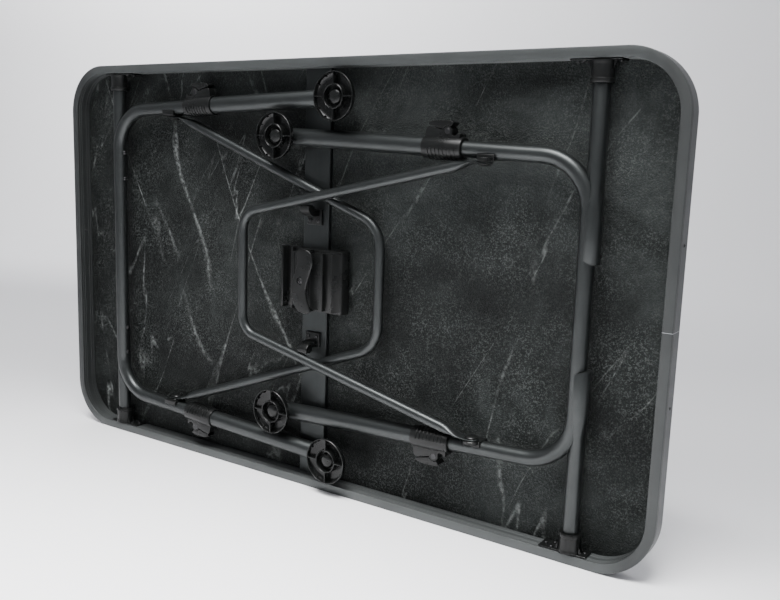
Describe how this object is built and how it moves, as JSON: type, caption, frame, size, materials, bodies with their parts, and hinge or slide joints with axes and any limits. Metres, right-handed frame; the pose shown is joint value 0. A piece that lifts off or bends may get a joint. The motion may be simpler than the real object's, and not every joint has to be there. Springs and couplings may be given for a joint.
{
  "type": "folding table",
  "caption": "Folding table with telescoping swivel-footed legs and a central brace latch, folded flat and standing on its long edge.",
  "frame": {"origin": "middle of the footprint on the floor, feet and latch included, with the folded table standing on a long edge", "axes": "+X along the table's length, +Y out of the tabletop's use surface, +Z up; turned so that +Y is up, the table stands in use on its opened legs"},
  "size_m": [1.2, 0.054, 0.71],
  "materials": {
    "rim_aluminium": "dark grey satin anodised",
    "tube_aluminium": "dark grey satin",
    "slate_laminate": "fine leather-grain slate laminate",
    "black_plastic": "semi-gloss moulded",
    "steel_hardware": "satin zinc"
  },
  "bodies": {
    "tabletop": {"frame_rim": "rim_aluminium", "tabletop_panel": "slate_laminate", "centre_rail": "rim_aluminium", "latch_housing": "black_plastic", "latch_screw": "steel_hardware", "storage_clip_upper": "black_plastic", "storage_clip_lower": "black_plastic", "left_upper_pivot_socket": "black_plastic", "left_lower_pivot_socket": "black_plastic", "right_upper_pivot_socket": "black_plastic", "right_lower_pivot_socket": "black_plastic"},
    "latch_lever": {"latch_lever": "black_plastic"},
    "right_leg": {"right_leg_frame": "tube_aluminium", "right_upper_hinge_stub": "tube_aluminium", "right_upper_rivet_1": "steel_hardware", "right_upper_rivet_2": "steel_hardware", "right_upper_brace_bracket": "black_plastic", "right_upper_brace_pin": "black_plastic", "right_lower_hinge_stub": "tube_aluminium", "right_lower_rivet_1": "steel_hardware", "right_lower_rivet_2": "steel_hardware", "right_lower_brace_bracket": "black_plastic", "right_lower_brace_pin": "black_plastic"},
    "right_brace": {"right_brace": "tube_aluminium"},
    "right_upper_extension": {"right_upper_outer_tube": "tube_aluminium", "right_upper_clamp_collar": "black_plastic", "right_upper_clamp_pin": "steel_hardware", "right_upper_ball_plug": "black_plastic"},
    "right_upper_clamp": {"right_upper_clamp_lever": "black_plastic"},
    "right_upper_swivel_foot": {"right_upper_foot": "black_plastic"},
    "right_lower_extension": {"right_lower_outer_tube": "tube_aluminium", "right_lower_clamp_collar": "black_plastic", "right_lower_clamp_pin": "steel_hardware", "right_lower_ball_plug": "black_plastic"},
    "right_lower_clamp": {"right_lower_clamp_lever": "black_plastic"},
    "right_lower_swivel_foot": {"right_lower_foot": "black_plastic"},
    "left_leg": {"left_leg_frame": "tube_aluminium", "left_upper_hinge_stub": "tube_aluminium", "left_upper_rivet_1": "steel_hardware", "left_upper_rivet_2": "steel_hardware", "left_upper_brace_bracket": "black_plastic", "left_upper_brace_pin": "black_plastic", "left_lower_hinge_stub": "tube_aluminium", "left_lower_rivet_1": "steel_hardware", "left_lower_rivet_2": "steel_hardware", "left_lower_brace_bracket": "black_plastic", "left_lower_brace_pin": "black_plastic"},
    "left_brace": {"left_brace": "tube_aluminium"},
    "left_upper_extension": {"left_upper_outer_tube": "tube_aluminium", "left_upper_clamp_collar": "black_plastic", "left_upper_clamp_pin": "steel_hardware", "left_upper_ball_plug": "black_plastic"},
    "left_upper_clamp": {"left_upper_clamp_lever": "black_plastic"},
    "left_upper_swivel_foot": {"left_upper_foot": "black_plastic"},
    "left_lower_extension": {"left_lower_outer_tube": "tube_aluminium", "left_lower_clamp_collar": "black_plastic", "left_lower_clamp_pin": "steel_hardware", "left_lower_ball_plug": "black_plastic"},
    "left_lower_clamp": {"left_lower_clamp_lever": "black_plastic"},
    "left_lower_swivel_foot": {"left_lower_foot": "black_plastic"}
  },
  "joints": [
    {"name": "latch_lever_turn", "type": "hinge", "parent": "tabletop", "child": "latch_lever", "pos_m": [0, -0.023, 0.355], "axis": [0, 1, 0], "range_deg": [-90, 0]},
    {"name": "right_leg_fold", "type": "hinge", "parent": "tabletop", "child": "right_leg", "pos_m": [0.4785, 0.004, 0.355], "axis": [0, 0, 1], "range_deg": [0, 92]},
    {"name": "right_brace_swing", "type": "hinge", "parent": "right_leg", "child": "right_brace", "pos_m": [0.322, -0.013, 0.355], "axis": [0, 0, -1], "range_deg": [0, 105.08]},
    {"name": "right_upper_slide", "type": "slide", "parent": "right_leg", "child": "right_upper_extension", "axis": [-0.9993, 0, 0.0369], "range_m": [0, 0.09]},
    {"name": "right_upper_clamp_turn", "type": "hinge", "parent": "right_upper_extension", "child": "right_upper_clamp", "pos_m": [0.25688, -0.0005, 0.59946], "axis": [0, 1, 0], "range_deg": [0, 75]},
    {"name": "right_upper_foot_tilt", "type": "hinge", "parent": "right_upper_extension", "child": "right_upper_swivel_foot", "pos_m": [-0.06, -0.0005, 0.58714], "axis": [0, 0, -1], "range_deg": [0, 92]},
    {"name": "right_lower_slide", "type": "slide", "parent": "right_leg", "child": "right_lower_extension", "axis": [-0.9993, 0, -0.0369], "range_m": [0, 0.09]},
    {"name": "right_lower_clamp_turn", "type": "hinge", "parent": "right_lower_extension", "child": "right_lower_clamp", "pos_m": [0.25688, -0.0005, 0.11054], "axis": [0, -1, 0], "range_deg": [0, 75]},
    {"name": "right_lower_foot_tilt", "type": "hinge", "parent": "right_lower_extension", "child": "right_lower_swivel_foot", "pos_m": [-0.06, -0.0005, 0.12286], "axis": [0, 0, -1], "range_deg": [0, 92]},
    {"name": "left_leg_fold", "type": "hinge", "parent": "tabletop", "child": "left_leg", "pos_m": [-0.4715, 0.004, 0.355], "axis": [0, 0, -1], "range_deg": [0, 86.5]},
    {"name": "left_brace_swing", "type": "hinge", "parent": "left_leg", "child": "left_brace", "pos_m": [-0.322, 0.004, 0.355], "axis": [0, 0, 1], "range_deg": [0, 100.48]},
    {"name": "left_upper_slide", "type": "slide", "parent": "left_leg", "child": "left_upper_extension", "axis": [0.999, 0, 0.0437], "range_m": [0, 0.09]},
    {"name": "left_upper_clamp_turn", "type": "hinge", "parent": "left_upper_extension", "child": "left_upper_clamp", "pos_m": [-0.25705, -0.0005, 0.65896], "axis": [0, -1, 0], "range_deg": [0, 75]},
    {"name": "left_upper_foot_tilt", "type": "hinge", "parent": "left_upper_extension", "child": "left_upper_swivel_foot", "pos_m": [0.06, -0.0005, 0.64879], "axis": [0, 0, 1], "range_deg": [0, 92]},
    {"name": "left_lower_slide", "type": "slide", "parent": "left_leg", "child": "left_lower_extension", "axis": [0.999, 0, -0.0437], "range_m": [0, 0.09]},
    {"name": "left_lower_clamp_turn", "type": "hinge", "parent": "left_lower_extension", "child": "left_lower_clamp", "pos_m": [-0.25705, -0.0005, 0.05104], "axis": [0, 1, 0], "range_deg": [0, 75]},
    {"name": "left_lower_foot_tilt", "type": "hinge", "parent": "left_lower_extension", "child": "left_lower_swivel_foot", "pos_m": [0.06, -0.0005, 0.06121], "axis": [0, 0, 1], "range_deg": [0, 92]}
  ],
  "couplings": [
    {"joint": "right_brace_swing", "follows": "right_leg_fold", "ratio": 1.14},
    {"joint": "right_upper_foot_tilt", "follows": "right_leg_fold", "ratio": 1},
    {"joint": "right_lower_foot_tilt", "follows": "right_leg_fold", "ratio": 1},
    {"joint": "left_brace_swing", "follows": "right_leg_fold", "ratio": 1.09},
    {"joint": "left_leg_fold", "follows": "right_leg_fold", "ratio": 0.94},
    {"joint": "left_upper_foot_tilt", "follows": "right_leg_fold", "ratio": 0.94},
    {"joint": "left_lower_foot_tilt", "follows": "right_leg_fold", "ratio": 0.94}
  ]
}
